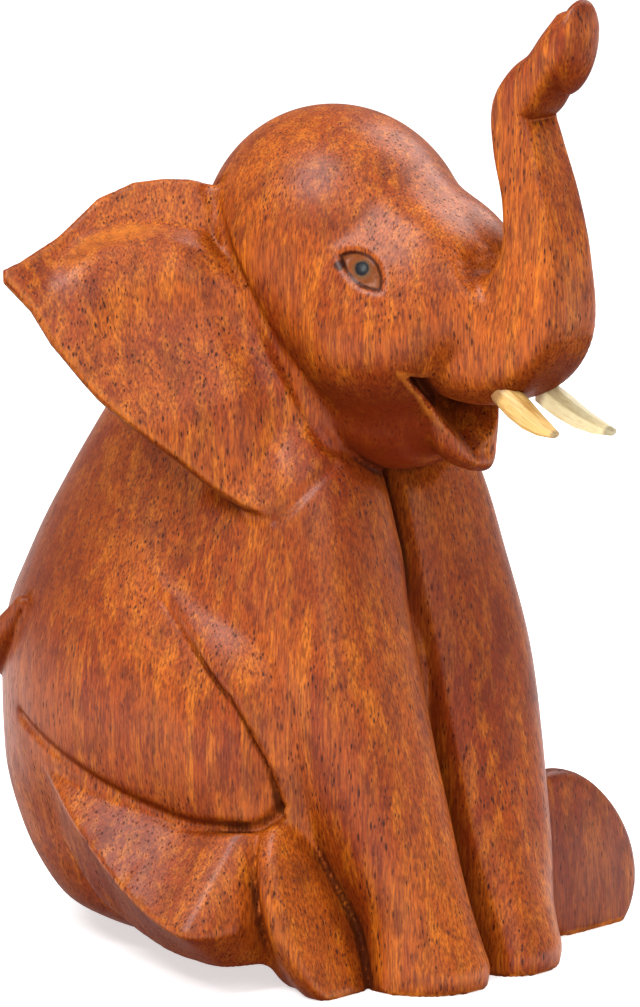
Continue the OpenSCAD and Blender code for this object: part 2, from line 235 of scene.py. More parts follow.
FRONT_LEG = [  # z, centre x, centre y, half x, half y, squareness
    (-2, 8.7, -26.2, 8.6, 9.2, 2.8),
    (2.5, 8.7, -26.6, 8.9, 9.8, 2.8),
    (6, 8.9, -26.0, 8.8, 9.4, 2.7),
    (11, 9.3, -24.4, 9.1, 9.2, 2.6),
    (20, 10.5, -20.4, 10.4, 10.5, 2.6),
    (33, 12.0, -15.1, 11.9, 12.4, 2.6),
    (46.8, 12.7, -10.4, 12.8, 13.6, 2.6),
    (60, 12.0, -6.4, 12.4, 13.9, 2.6),
    (76, 10.6, -2.0, 11.4, 13.6, 2.4),
    (88, 8.6, 4.0, 9.2, 11.4, 2.2),
    (96, 7, 6, 4, 5, 2.2),
]

TRUNK = [  # x, y, z, half width, half height, squareness
    (0, -14, 104, 13, 13, 2.3),
    (0, -25, 101.4, 10.8, 11.2, 2.7),
    (0, -34.5, 100.3, 8.6, 10.6, 3.6),
    (0, -40.7, 103.8, 6.8, 9.0, 4.6),
    (0, -43.2, 112.4, 5.5, 5.7, 5.4),
    (0, -42.3, 121, 4.9, 4.5, 5.6),
    (0, -39.8, 129.0, 4.4, 4.2, 5.4),
    (0, -38.8, 134.6, 4.3, 3.7, 4.6),
    (0, -41.4, 138.2, 4.4, 4.2, 3.4),
    (0, -44.4, 141.4, 4.4, 3.6, 2.8),
    (0, -46.8, 145.1, 4.2, 3.3, 2.5),
    (0, -48.9, 148.5, 3.6, 2.8, 2.3),
]
# the cut face at the end of the trunk: an upright oval whose lower lip overhangs
NOZZLE_AT = (0, -48.9, 145.1)
NOZZLE_SIZE = (4.5, 2.2, 7.4)           # half width, half thickness, half height
NOZZLE_LEAN = math.radians(10.7)

JAW = [  # x, y, z, half width, half height, squareness
    (0, 4, 90, 13, 12, 2.2),
    (0, -8, 88.2, 12.8, 11.3, 2.2),
    (0, -16, 87.3, 11.8, 10.2, 2.2),
    (0, -22, 87.4, 9.4, 8.4, 2.2),
    (0, -26.2, 86.0, 6.0, 6.0, 2.2),
]
LIP = [  # the rim of the lower lip, from the corner of the mouth to the chin
    (9.6, -23.2, 94.2),
    (7.6, -25.4, 90.5),
    (5.4, -26.9, 86.0),
    (3.9, -27.8, 80.8),
    (0.0, -28.2, 79.8),
]
LIP_THICK = 1.5
LIP_TILT = 0.3                          # the right half of the lower lip was left a little higher
LIP_TILT_REACH = 4                      # the tilt grows only this far from the centre plane
# the mouth: three points of its sloping wall (corner, front of the V, back), its back, and its roof
MOUTH_WALL = [(8.4, -24.0, 93.6), (0, -28.8, 80.8), (0, -19.5, 90.6)]
MOUTH_BACK_Y = -21.2
MOUTH_ROOF = (95.7, -25, 0.42)          # its height, at this y, and its rise toward the back

# hind leg: three long edges, each row y, x, z from the rump forward to the ankle
LEG_CREASE = [(44, 24, 37.0), (35, 30.0, 36.0), (21.4, 31.4, 30.7), (7.8, 31.0, 26.1), (1, 30.5, 24.5),
              (-5.2, 31.0, 23.7), (-9.9, 29.9, 24.1), (-12.5, 28.0, 25.2), (-16, 26.5, 22.0),
              (-20, 25.5, 17.0), (-24, 25.0, 12.0)]
LEG_RIDGE = [(44, 25, 35.0), (36, 30.5, 32.5), (30, 33.0, 29.5), (20.6, 37.0, 23.7), (13.8, 39.0, 19.6),
             (6.7, 40.5, 15.5), (-0.7, 41.5, 12.0), (-8.2, 41.9, 10.2), (-12, 38.5, 10.5),
             (-14.2, 34.3, 12.9), (-24, 31.0, 15.0)]
LEG_BELOW = [(44, 22, 30), (34, 28.0, 23.0), (21.4, 31.3, 11.6), (12, 32.9, 7.6), (5, 34.0, 5.6),
             (-0.5, 34.5, 4.6), (-7.9, 33.6, 3.9), (-13.6, 30.0, 4.2), (-24, 27.0, 5.0)]
LEG_INSIDE_X = 16.0
LEG_ROUND = 0.7
LEG_START_Y = 42                        # inside the rump
LEG_END = (3.0, 0.38)                   # how far behind the soles it stops, and how the stop leans back
ANKLE_IN = 6.0                          # the right ankle is drawn in this much more than the left
ANKLE_Y = (-8, -16)                     # where that begins, and where it is complete

# The two hind feet were not carved alike.
# centre x, centre z, half length, half width, lean outward in degrees, lean back
FOOT_RIGHT = (22.9, 12.3, 14.4, 9.4, 2.0, 0.38)
FOOT_LEFT = (31.5, 11.5, 15.8, 12.2, -45.0, 0.10)
SOLE_Y = -24.8                          # where the soles meet the floor
PAD_DEPTH = 12                          # from the sole to the back of the pad
# the pad is narrowest from this far behind the sole, full from this far, and the narrowest share
FOOT_FLARE = (10.5, 3.2, 0.55)
HEEL_DROP = 0.75                        # the pad stays low as it narrows
SOLE_DOME = 0.008                       # the soles bulge very slightly

# the ear: its plane (outward, up, and the way it faces), a point on it, and its outline in the plane
EAR_U = np.array([0.767, 0.559, -0.316])
EAR_V = np.array([-0.035, 0.529, 0.848])
EAR_U /= np.linalg.norm(EAR_U)
EAR_N = np.cross(EAR_V, EAR_U)
EAR_N /= np.linalg.norm(EAR_N)
EAR_V = np.cross(EAR_U, EAR_N)
EAR_AT = np.array([19.5, 2.5, 100.0])
EAR_EDGE = np.array([
    (-9, 18.5), (-5, 21.4), (-2, 23.4), (1.5, 24.9), (6, 26.0), (12, 25.5), (19.9, 21.7), (26.9, 19.3),
    (30.0, 18.8), (30.6, 17.1), (28.3, 11.6), (27.3, 5.8), (26.1, 2.2), (24.9, -1.4), (23.6, -4.8),
    (21.2, -9.1), (18.3, -13.6), (15.0, -18.0), (12.2, -22.2), (8.4, -26.9), (4.4, -30.4),
    (2.6, -30.8), (-0.6, -28.9), (-4.8, -26.0), (-9, -23)], float)

# where the front of the belly drops behind the front leg: z, y, and how far it drops
BELLY_EDGE = [(22, -14.2, 0.0), (26, -13.8, 1.0), (28.3, -13.4, 1.4), (32.3, -12.7, 1.5), (36.6, -11.4, 1.4),
              (43.3, -8.1, 1.3), (48, -3.7, 1.1), (52.7, 1.3, 0.8), (58, 7.4, 0.3), (64, 14.0, 0.0)]
BELLY_DROP = (0.7, 13.0)                # the step itself, and how soon the belly is full again behind it


def torso(p):
    flank = FLANK_FULL * sstep(14, -10, p[:, 1]) * sstep(12, 24, p[:, 2]) * sstep(66, 44, p[:, 2])
    edge, drop = table(BELLY_EDGE, np.clip(p[:, 2], 22, 64))
    behind = p[:, 1] - edge
    step = drop * sstep(0, BELLY_DROP[0], behind) * sstep(BELLY_DROP[1], 0, behind) * (np.abs(p[:, 0]) > 12)
    return stack(p, TORSO, cap=(3, 8), squarer=flank) + step


def front_leg(m):
    def shape(q):
        d = stack(q, FRONT_LEG, cap=(2, 8))
        # soft flutes between the toes, fading up the leg
        a = np.arctan2(q[:, 0] - 8.8, -(q[:, 1] + 22))
        flute = 0.6 * np.cos(a * 5.2 + 0.6) * (1 - sstep(2, 32, q[:, 2])) * sstep(-16, -22, q[:, 1])
        between = 1.5 * np.exp(-(q[:, 0] / 1.1) ** 2) * sstep(84, 70, q[:, 2])
        return d - flute + between
    return near(m, (-4, -40, -2), (29, 18, 97), shape, 18)


def hind_leg(m):
    def shape(q):
        y = np.clip(q[:, 1], -24, 44)
        tx, tz = table(LEG_CREASE, y)
        rx, rz = table(LEG_RIDGE, y)
        bx, bz = table(LEG_BELOW, y)
        ix = np.full(len(y), LEG_INSIDE_X)
        # a loop of five corners round the section, shrunk by the rounding radius
        pts = [(ix, tz), (tx - 0.6, tz), (rx - LEG_ROUND, rz), (bx, bz + LEG_ROUND), (ix, bz + LEG_ROUND)]
        d = np.full(len(y), 1e18)
        inside = np.zeros(len(y), bool)
        x, z = q[:, 0], q[:, 2]
        for (ax, az), (cx, cz) in zip(pts, pts[1:] + pts[:1]):
            ex, ez = cx - ax, cz - az
            w = np.clip(((x - ax) * ex + (z - az) * ez) / (ex * ex + ez * ez + 1e-9), 0, 1)
            d = np.minimum(d, (x - ax - ex * w) ** 2 + (z - az - ez * w) ** 2)
            cross = (az > z) != (cz > z)
            inside ^= cross & (x < ex * (z - az) / (ez + 1e-18) + ax)
        d = np.where(inside, -1, 1) * np.sqrt(d) - LEG_ROUND
        front_end = SOLE_Y + LEG_END[0] + LEG_END[1] * q[:, 2]
        ends = np.maximum(q[:, 1] - LEG_START_Y, front_end - q[:, 1])
        return smax(d, ends, 3) * 0.9
    return near(m, (14, -22, -2), (44, 44, 42), shape, 9)


def foot(p, side, dims):
    cx, cz, long_half, wide_half, lean, back = dims
    a = math.radians(lean)
    x, y, z = side * p[:, 0] - cx, p[:, 1], p[:, 2] - cz
    u = x * math.cos(a) - z * math.sin(a)
    v = x * math.sin(a) + z * math.cos(a)
    sole = SOLE_Y + back * p[:, 2]
    grow = FOOT_FLARE[2] + (1 - FOOT_FLARE[2]) * sstep(FOOT_FLARE[0], FOOT_FLARE[1], y - sole)
    v = v + HEEL_DROP * long_half * (1 - grow)
    d = superd(u, v, wide_half * grow, long_half * grow, 2.1) * 0.9
    front = sole + SOLE_DOME * (u ** 2 + 0.5 * v ** 2)
    slab = np.maximum(front - y, y - sole - PAD_DEPTH) / math.sqrt(1 + back * back)
    return smax(d, slab, 1.5)


def feet(p):
    def shape(q):
        return np.minimum(foot(q, -1, FOOT_RIGHT), foot(q, 1, FOOT_LEFT))
    return near(p, (-46, -28, -2), (46, -12, 32), shape, 8)


def trunk(p):
    def shape(q):
        c, s = math.cos(NOZZLE_LEAN), math.sin(NOZZLE_LEAN)
        x, y, z = (q - np.array(NOZZLE_AT)).T
        face = ell(np.stack([x, y * c + z * s, z * c - y * s], 1), (0, 0, 0), NOZZLE_SIZE)
        return smin(sweep(q, TRUNK, steps=14, caps=(1.0, 0.5)), face, 0.8)
    return near(p, (-15, -56, 88), (15, 2, 156), shape, 8)


def skull(p, m):
    d = ell(p, (0, -1.0, 109.4), (18.7, 22.3, 21.8))
    d = smin(d, ell(p, (0, -17.8, 107.4), (12.6, 13.8, 13.0)), 4.5)
    d = smin(d, ell(m, (5.0, -20.8, 105.6), (7.6, 12.2, 12.2)), 4)
    return smin(d, ell(m, (9.0, -17, 99), (10.0, 13.4, 12.0)), 6)


def jaw(p, m):
    def shape(q):
        d = sweep(q, JAW, caps=(1, 0.8))
        tilted = mirror(q)
        tilted[:, 2] += LIP_TILT * np.clip(q[:, 0], -LIP_TILT_REACH, LIP_TILT_REACH)
        rim = along(tilted, LIP) - LIP_THICK
        return smin(d, rim, 2.4)
    return near(p, (-14, -38, 74), (14, 18, 102), shape, 8)


def gradient(f, p, e):
    return np.stack([(f(p + np.eye(3)[i] * e) - f(p - np.eye(3)[i] * e)) / (2 * e) for i in range(3)], 1)


def laid_on(f, line, lift):
    """Moves the points of a line until they are this far above the surface of f."""
    p = np.array(line, float)
    for _ in range(8):
        g = gradient(f, p, 0.2)
        p = p - 0.8 * ((f(p) - lift) / np.maximum((g ** 2).sum(1), 0.3))[:, None] * g
    return p


TAIL = laid_on(torso, [  # x, y, z: down the back, then curled round to the right hip
    (0, 53, 63), (-1.2, 55, 55), (-4.5, 55, 46.5), (-10, 54, 41), (-16.5, 50.6, 40), (-22.8, 45.6, 42),
    (-26.6, 41.2, 47), (-28.6, 38.0, 52)], 0.3)
TAIL_RADIUS = (1.3, 2.1, 2.0, 1.9, 1.9, 2.0, 2.6, 1.4)


def tail(p):
    def shape(q):
        rows = [(x, y, z, r, r, 2.0) for (x, y, z), r in zip(TAIL, TAIL_RADIUS)]
        return sweep(q, rows, caps=(1.5, 1.6))
    return near(p, (-34, 34, 34), (6, 62, 66), shape, 5)


def mouth(m):
    """The V-shaped hollow between the lips: everything inside two sloping walls, below the roof."""
    a, b, c = [np.array(v, float) for v in MOUTH_WALL]
    n = np.cross(b - a, c - a)
    n /= np.linalg.norm(n)
    if n[0] < 0:
        n = -n
    wall = (m - b) @ n                       # positive on the outer side of the wall
    back = m[:, 1] - MOUTH_BACK_Y
    top, top_y, rise = MOUTH_ROOF
    roof = m[:, 2] - (top + rise * (m[:, 1] - top_y))
    return smax(smax(wall, back, 0.8), roof, 0.8)


def ear_face(u, v):
    """How far the middle of the ear stands in front of its flat frame."""
    s = v - (19.8 - 0.03 * (u - 13) ** 2)              # above or below the fold line
    reach = 1 - sstep(18, 28, u)
    h = 2.1 * sstep(-4.0, 1.6, s) * reach              # rolled upper band
    h = h - 1.9 * reach * np.exp(-((s + 7.5) / 6.0) ** 2)
    h = h - 0.0042 * u * u                             # the tip bends back
    h = h + 1.9 * sstep(5.0, -2.5, u) * sstep(20, 6, v)   # broad band along the root
    return h + 4.6 * sstep(-9, -26, v)                 # the lobe comes forward


def ear(m):
    def shape(p):
        q = p - EAR_AT
        u, v, w = q @ EAR_U, q @ EAR_V, q @ EAR_N
        edge = outline_d(u, v, EAR_EDGE)
        h = ear_face(u, v)
        e = 0.4
        slope2 = ((ear_face(u + e, v) - h) / e) ** 2 + ((ear_face(u, v + e) - h) / e) ** 2
        t = 1.25 + 0.9 * sstep(10, -8, u)
        slab = (np.abs(w - h) - t) / np.sqrt(1 + slope2)
        return smax(slab, edge, 0.9)
    return near(m, (8, -22, 66), (46, 40, 128), shape, 8)


# carved creases: a V tool run along the joins, mirrored left and right
HIP_CREASE = [(30.3, 35, 36.2), (31.2, 28, 33.4), (31.6, 21.4, 30.9), (31.4, 14, 28.2),
              (31.2, 7.8, 26.3), (30.7, 1, 24.7), (30.0, -5.2, 23.9), (28.2, -9.9, 24.3),
              (26.2, -11.8, 26.0), (24.8, -12.6, 27.6)]
BELLY_CREASE = [(30.3, 7.4, 58.0), (30.3, 1.5, 52.7), (30.6, -3.5, 48.0), (30.2, -7.9, 43.3),
                (28.6, -11.2, 36.6), (26.9, -12.5, 32.3), (25.4, -13.1, 28.4)]
EAR_CREASE = [(15.6, 11.5, 118.7), (16.8, 7.0, 114.0), (18.5, 0.8, 105.0), (16.6, -3.6, 96.0),
              (15.1, -7.4, 88.6), (13.7, -10.6, 81.6), (10.9, -12.3, 79.5)]
LOBE_CUT = [(22.0, -8.7, 71.6), (20.2, -10.0, 73.0), (18.4, -11.2, 75.0), (16.1, -11.9, 77.0),
            (13.3, -12.3, 79.0)]

# the eye: its own flat frame on the side of the head
EYE_AT = np.array([15.6, -20.3, 110.4])
EYE_N = np.array([0.78, -0.60, 0.18])
EYE_N /= np.linalg.norm(EYE_N)
EYE_A = np.cross(np.array([0, 0, 1.0]), EYE_N)      # forward along the face
EYE_A /= -np.linalg.norm(EYE_A)
EYE_B = np.cross(EYE_A, EYE_N)
EYE_B *= np.sign(EYE_B[2])
# almond = two overlapping circles: centre a, centre b, radius
EYE_UPPER = (-1.3, -1.9, 4.3)
EYE_LOWER = (2.9, 3.1, 6.3)
EYEBALL = 2.2


def eye_relief(m):
    q = m - EYE_AT
    r2 = (q ** 2).sum(1)
    out = np.zeros(len(m))
    k = r2 < 81
    if not k.any():
        return out
    a, b = q[k] @ EYE_A, q[k] @ EYE_B
    up = np.hypot(a - EYE_UPPER[0], b - EYE_UPPER[1]) - EYE_UPPER[2]
    low = np.hypot(a - EYE_LOWER[0], b - EYE_LOWER[1]) - EYE_LOWER[2]
    lens = np.maximum(up, low)
    socket = 0.62 * sstep(0.5, -0.5, lens)
    ball = 0.95 * np.clip(1 - (a * a + (b + 0.2) ** 2) / EYEBALL ** 2, 0, 1)
    lid = 0.2 * np.exp(-((lens - 1.1) / 0.8) ** 2) * sstep(9, 6, np.sqrt(r2[k]))
    out[k] = socket - ball - lid
    return out


def trunk_and_legs(p):
    m = mirror(p)
    d = smin(torso(p), front_leg(m), 1.0 + 9 * sstep(50, 66, p[:, 2]))
    drawn = m.copy()
    drawn[:, 0] += ANKLE_IN * sstep(*ANKLE_Y, p[:, 1]) * (p[:, 0] < 0)
    leg = smin(hind_leg(drawn), feet(p), 1.6)
    # the leg sinks softly into the rump, and stays crisp along the belly
    d = smin(d, leg, 0.5 + 1.6 * sstep(24, 40, p[:, 1]) + 0.2 * sstep(-12, -17, p[:, 1]))
    return smin(d, tail(p), 0.8)


def head_and_ears(p):
    m = mirror(p)
    h = smin(skull(p, m), jaw(p, m), 3.0)
    h = smax(h, -mouth(m), 0.5)
    h = smin(h, trunk(p), 1.0 + 3.4 * sstep(94, 102, p[:, 2])) + eye_relief(m)
    return smin(h, ear(m), 0.9)


def uncut(p):
    return smin(trunk_and_legs(p), head_and_ears(p), 1.0)


def settle(f, line):
    """Moves the points of a line onto the surface of f, on the right-hand side."""
    return laid_on(f, np.array(line, float) * (-1, 1, 1), 0.0) * (-1, 1, 1)


CUTS = [(settle(trunk_and_legs, HIP_CREASE), 0.9, 0.8), (settle(trunk_and_legs, BELLY_CREASE), 0.7, 0.6),
        (settle(uncut, EAR_CREASE), 0.8, 0.9), (settle(uncut, LOBE_CUT), 1.1, 0.8)]


def carving(p):
    """Distance to the whole carved body, negative inside."""
    m = mirror(p)
    d = uncut(p)
    for line, depth, width in CUTS:
        d = d + groove(m, line, depth, width)
    return np.maximum(d, -p[:, 2])


# ---------------------------------------------------------------- from the field to a mesh
def surface(f, lo, hi, cell, block=8, polish=2):
    """Surface nets on the blocks that the surface passes through, then pulled onto the field."""
    lo = np.array(lo, float)
    count = np.ceil((np.array(hi, float) - lo) / (cell * block)).astype(int)
    size = count * block + 1
    centres = [lo[i] + (np.arange(count[i]) + 0.5) * cell * block for i in range(3)]
    grid_points = np.stack(np.meshgrid(*centres, indexing="ij"), -1).reshape(-1, 3)
    d = f(grid_points)
    busy = np.abs(d) < 0.5 * math.sqrt(3) * cell * block * 1.6
    blocks = np.stack(np.unravel_index(np.nonzero(busy)[0], count), 1)
    grid = np.full(size, 1e3, np.float32)
    sign = np.where(d.reshape(count) < 0, -1e3, 1e3).astype(np.float32)
    grid[:-1, :-1, :-1] = sign.repeat(block, 0).repeat(block, 1).repeat(block, 2)
    offsets = np.stack(np.meshgrid(*[np.arange(block + 1)] * 3, indexing="ij"), -1).reshape(-1, 3)
    for s in range(0, len(blocks), 400):
        i = (blocks[s:s + 400][:, None, :] * block + offsets[None]).reshape(-1, 3)
        grid[i[:, 0], i[:, 1], i[:, 2]] = f(lo + i * cell)
    verts, quads = nets(grid, lo, cell)
    for _ in range(polish):
        value = f(verts)
        slope = gradient(f, verts, 0.25 * cell)
        step = -(value / np.maximum((slope ** 2).sum(1), 0.3))[:, None] * slope
        length = np.linalg.norm(step, axis=1, keepdims=True)
        verts = verts + step * np.minimum(1, 0.3 * cell / np.maximum(length, 1e-9))
    return verts, quads


def nets(g, lo, cell):
    inside = g < 0
    n = np.array(g.shape)
    total = np.zeros(n - 1, np.int8)
    corners = [(x, y, z) for z in (0, 1) for y in (0, 1) for x in (0, 1)]
    for x, y, z in corners:
        total += inside[x:n[0] - 1 + x, y:n[1] - 1 + y, z:n[2] - 1 + z]
    active = (total > 0) & (total < 8)
    ids = -np.ones(n - 1, np.int64)
    index = np.stack(np.nonzero(active), 1)
    ids[active] = np.arange(len(index))
    sums = np.zeros((len(index), 3))
    hits = np.zeros(len(index))
    values = [g[index[:, 0] + x, index[:, 1] + y, index[:, 2] + z].astype(float) for x, y, z in corners]
    for a in range(8):
        for b in range(a + 1, 8):
            ca, cb = np.array(corners[a], float), np.array(corners[b], float)
            if np.abs(ca - cb).sum() != 1:
                continue
            m = (values[a] < 0) != (values[b] < 0)
            t = np.clip(np.where(m, values[a] / np.where(m, values[a] - values[b], 1), 0), 0, 1)
            sums[m] += (ca + t[:, None] * (cb - ca))[m]
            hits[m] += 1
    verts = lo + (index + sums / hits[:, None]) * cell
    quads = []
    for axis in range(3):
        o = [(1, 2), (2, 0), (0, 1)][axis]
        first = [slice(None)] * 3
        second = [slice(None)] * 3
        first[axis] = slice(0, n[axis] - 1)
        second[axis] = slice(1, n[axis])
        s0, s1 = inside[tuple(first)], inside[tuple(second)]
        e = np.stack(np.nonzero(s0 != s1), 1)
        ok = (e[:, o[0]] > 0) & (e[:, o[1]] > 0) & (e[:, o[0]] < n[o[0]] - 1) & (e[:, o[1]] < n[o[1]] - 1)
        e = e[ok]
        flip = s0[e[:, 0], e[:, 1], e[:, 2]]

        def cell_id(da, db):
            q = e.copy()
            q[:, o[0]] -= da
            q[:, o[1]] -= db
            return ids[q[:, 0], q[:, 1], q[:, 2]]

        q = np.stack([cell_id(1, 1), cell_id(0, 1), cell_id(0, 0), cell_id(1, 0)], 1)
        q[~flip] = q[~flip][:, ::-1]
        quads.append(q)
    return verts, np.concatenate(quads)


def mesh_object(name, verts, faces, smooth=True):
    mesh = bpy.data.meshes.new(name)
    faces = faces.tolist() if isinstance(faces, np.ndarray) else faces
    mesh.from_pydata((verts * MM).tolist(), [], faces)
    mesh.validate()
    mesh.update()
    obj = bpy.data.objects.new(name, mesh)
    bpy.context.collection.objects.link(obj)
    mesh.polygons.foreach_set("use_smooth", [smooth] * len(mesh.polygons))
    return obj


def thin(obj, triangles):
    """Collapse edges until the mesh has this many triangles."""
    faces = 2 * len(obj.data.polygons)
    if faces > triangles:
        mod = obj.modifiers.new("thin", "DECIMATE")
        mod.ratio = triangles / faces
        bpy.context.view_layer.objects.active = obj
        obj.select_set(True)
        bpy.ops.object.modifier_apply(modifier=mod.name)
        obj.select_set(False)


def add_values(obj, name, values):
    layer = obj.data.attributes.new(name, "FLOAT", "POINT")
    layer.data.foreach_set("value", np.asarray(values, np.float32))


verts, quads = surface(carving, (-47, -60, -1.5), (47, 62, 158), CELL)
body = mesh_object("elephant_body", verts, quads)
thin(body, MAX_TRIANGLES)

# how hollow or how proud each spot is, for painted shade in creases and wear on ridges
points = np.empty(len(body.data.vertices) * 3, np.float64)
body.data.vertices.foreach_get("co", points)
points = points.reshape(-1, 3) / MM
normals = gradient(carving, points, 0.3)
normals /= np.maximum(np.linalg.norm(normals, axis=1, keepdims=True), 1e-9)
hollow = np.clip(1 - carving(points + normals * 1.6) / 1.6, -1, 1)
deep = np.clip(1 - carving(points + normals * 5.0) / 5.0, -1, 1)
proud = np.clip(1 + carving(points - normals * 1.3) / 1.3, 0, 1)
add_values(body, "hollow", np.clip(hollow, 0, 1))
add_values(body, "deep", np.clip(deep, 0, 1))
add_values(body, "proud", proud)


# ---------------------------------------------------------------- tusks
TUSK_ROOT = np.array([5.0, -39.8, 91.9])
TUSK_AIM = np.array([6.6, -51.0, 86.9])
TUSK_DROP = {-1: -0.3, 1: 1.2}          # the left one was set lower than the right
TUSK_SECTIONS = [  # along, half width, half height, sag
    (-1.4, 1.9, 1.9, 0.0), (0.6, 2.15, 2.1, 0.0), (3.2, 2.2, 2.05, -0.25), (6.4, 1.95, 1.75, -0.35),
    (9.4, 1.5, 1.3, -0.1), (11.4, 1.05, 0.85, 0.35), (12.4, 0.75, 0.6, 0.6)]
TENON = (1.25, 5.8)
FACETS = 9


def tusk_mesh(side):
    root = TUSK_ROOT * (side, 1, 1) - (0, 0, TUSK_DROP[side])
    axis = (TUSK_AIM - TUSK_ROOT) * (side, 1, 1)
    axis /= np.linalg.norm(axis)
    across = np.cross((0, 0, 1.0), axis)
    across /= np.linalg.norm(across)
    up = np.cross(axis, across)
    rng = np.random.default_rng(11 if side > 0 else 5)
    turn = rng.uniform(-0.16, 0.16, FACETS)
    cut = rng.uniform(0.93, 1.06, FACETS)
    rings = []
    for r, s in [(TENON[0], -TENON[1]), (TENON[0], TUSK_SECTIONS[0][0])]:
        rings.append([root + axis * s + r * (across * math.cos(a) + up * math.sin(a))
                      for a in np.arange(FACETS) * 2 * math.pi / FACETS])
    for s, w, h, sag in TUSK_SECTIONS:
        wobble = rng.uniform(0.97, 1.03, FACETS)
        ring = []
        for i, a in enumerate(np.arange(FACETS) * 2 * math.pi / FACETS + turn):
            out = across * w * math.cos(a) + up * h * math.sin(a)
            ring.append(root + axis * s + up * sag + cut[i] * wobble[i] * out)
        rings.append(ring)
    v = np.array([p for ring in rings for p in ring])
    faces = []
    for k in range(len(rings) - 1):
        for i in range(FACETS):
            j = (i + 1) % FACETS
            faces.append([k * FACETS + i, k * FACETS + j, (k + 1) * FACETS + j, (k + 1) * FACETS + i])
    faces.append(list(range(FACETS))[::-1])
    faces.append([(len(rings) - 1) * FACETS + i for i in range(FACETS)])
    obj = mesh_object("tusk_carved_" + ("left" if side > 0 else "right"), v, faces, smooth=False)
    bevel = obj.modifiers.new("soft_edges", "BEVEL")
    bevel.width = 0.16 * MM
    bevel.segments = 2
    bpy.context.view_layer.objects.active = obj
    obj.select_set(True)
    bpy.ops.object.modifier_apply(modifier=bevel.name)
    obj.select_set(False)
    return obj


tusk_right = tusk_mesh(-1)
tusk_left = tusk_mesh(1)


# ---------------------------------------------------------------- materials
class Nodes:
    """Short helpers for building a node material."""

    def __init__(self, name):
        self.material = bpy.data.materials.new(name)
        self.material.use_nodes = True
        self.tree = self.material.node_tree
        self.tree.nodes.clear()

    def add(self, kind, **settings):
        n = self.tree.nodes.new(kind)
        for k, v in settings.items():
            setattr(n, k, v)
        return n

    def link(self, value, socket):
        if isinstance(value, bpy.types.NodeSocket):
            self.tree.links.new(value, socket)
        else:
            socket.default_value = value

    def math(self, op, a, b=0.0, c=0.0, clamp=False):
        n = self.add("ShaderNodeMath", operation=op, use_clamp=clamp)
        for i, v in enumerate((a, b, c)):
            self.link(v, n.inputs[i])
        return n.outputs[0]

    def vec(self, op, a, b=(0, 0, 0), out=0):
        n = self.add("ShaderNodeVectorMath", operation=op)
        self.link(a, n.inputs[0])
        self.link(b, n.inputs[1])
        return n.outputs[out]

    def dot(self, a, b):
        return self.vec("DOT_PRODUCT", a, tuple(float(x) for x in b), out=1)

    def stretch(self, vector, size):
        """Texture space where one unit is `size` millimetres along each axis."""
        return self.vec("MULTIPLY", vector, tuple(1 / (s * MM) for s in size))

    def noise(self, vector, detail=3.0, rough=0.5, distort=0.0):
        n = self.add("ShaderNodeTexNoise")
        self.link(vector, n.inputs["Vector"])
        n.inputs["Scale"].default_value = 1.0
        n.inputs["Detail"].default_value = detail
        n.inputs["Roughness"].default_value = rough
        n.inputs["Distortion"].default_value = distort
        return n.outputs["Fac"]

    def cells(self, vector, random=1.0):
        n = self.add("ShaderNodeTexVoronoi")
        self.link(vector, n.inputs["Vector"])
        n.inputs["Scale"].default_value = 1.0
        n.inputs["Randomness"].default_value = random
        return n.outputs["Distance"], n.outputs["Color"]

    def band(self, value, lo, hi, out_lo=0.0, out_hi=1.0):
        """Smooth step of value from lo to hi."""
        n = self.add("ShaderNodeMapRange", interpolation_type="SMOOTHSTEP")
        for i, v in enumerate((value, lo, hi, out_lo, out_hi)):
            self.link(v, n.inputs[i])
        return n.outputs[0]

    def mix(self, fac, a, b, mode="MIX"):
        n = self.add("ShaderNodeMix", data_type="RGBA", blend_type=mode, clamp_factor=True)
        self.link(fac, n.inputs[0])
        for v, socket in ((a, n.inputs[6]), (b, n.inputs[7])):
            self.link(v if isinstance(v, bpy.types.NodeSocket) else (*v, 1.0), socket)
        return n.outputs[2]

    def value(self, name):
        return self.add("ShaderNodeAttribute", attribute_name=name).outputs["Fac"]

    def place(self):
        return self.add("ShaderNodeTexCoord").outputs["Object"]

    def bump(self, height, distance_mm, strength=1.0, normal=None):
        n = self.add("ShaderNodeBump")
        n.inputs["Strength"].default_value = strength
        n.inputs["Distance"].default_value = distance_mm * MM
        self.link(height, n.inputs["Height"])
        if normal is not None:
            self.link(normal, n.inputs["Normal"])
        return n.outputs[0]

    def surface(self, colour, rough, normal, coat=0.0, coat_rough=0.3, specular=0.5, glow=0.0):
        s = self.add("ShaderNodeBsdfPrincipled")
        self.link(colour, s.inputs["Base Color"])
        self.link(rough, s.inputs["Roughness"])
        self.link(normal, s.inputs["Normal"])
        self.link(coat, s.inputs["Coat Weight"])
        s.inputs["Coat Roughness"].default_value = coat_rough
        self.link(specular, s.inputs["Specular IOR Level"])
        s.inputs["Emission Color"].default_value = (1, 1, 1, 1)
        s.inputs["Emission Strength"].default_value = glow
        out = self.add("ShaderNodeOutputMaterial")
        self.tree.links.new(s.outputs[0], out.inputs[0])
        return self.material


def srgb(r, g, b):
    return tuple(((c / 255) / 12.92) if c / 255 <= 0.04045 else ((c / 255 + 0.055) / 1.055) ** 2.4
                 for c in (r, g, b))


# painted shade: soft dark patches where the body lies in shade: x, y, z, reach, strength
# in order: below the ear, the rump, the cheek, the shoulder, the left front leg, the left foot
SHADE_PATCHES = [
    (-19, 35, 66, 22, 0.5), (-26, 36, 44, 22, 0.4), (-9, -19, 83, 11, 0.7), (-17, -13, 66, 13, 0.3),
    (14, -18, 53, 26, 0.45), (33, -24, 12, 20, 0.4)]


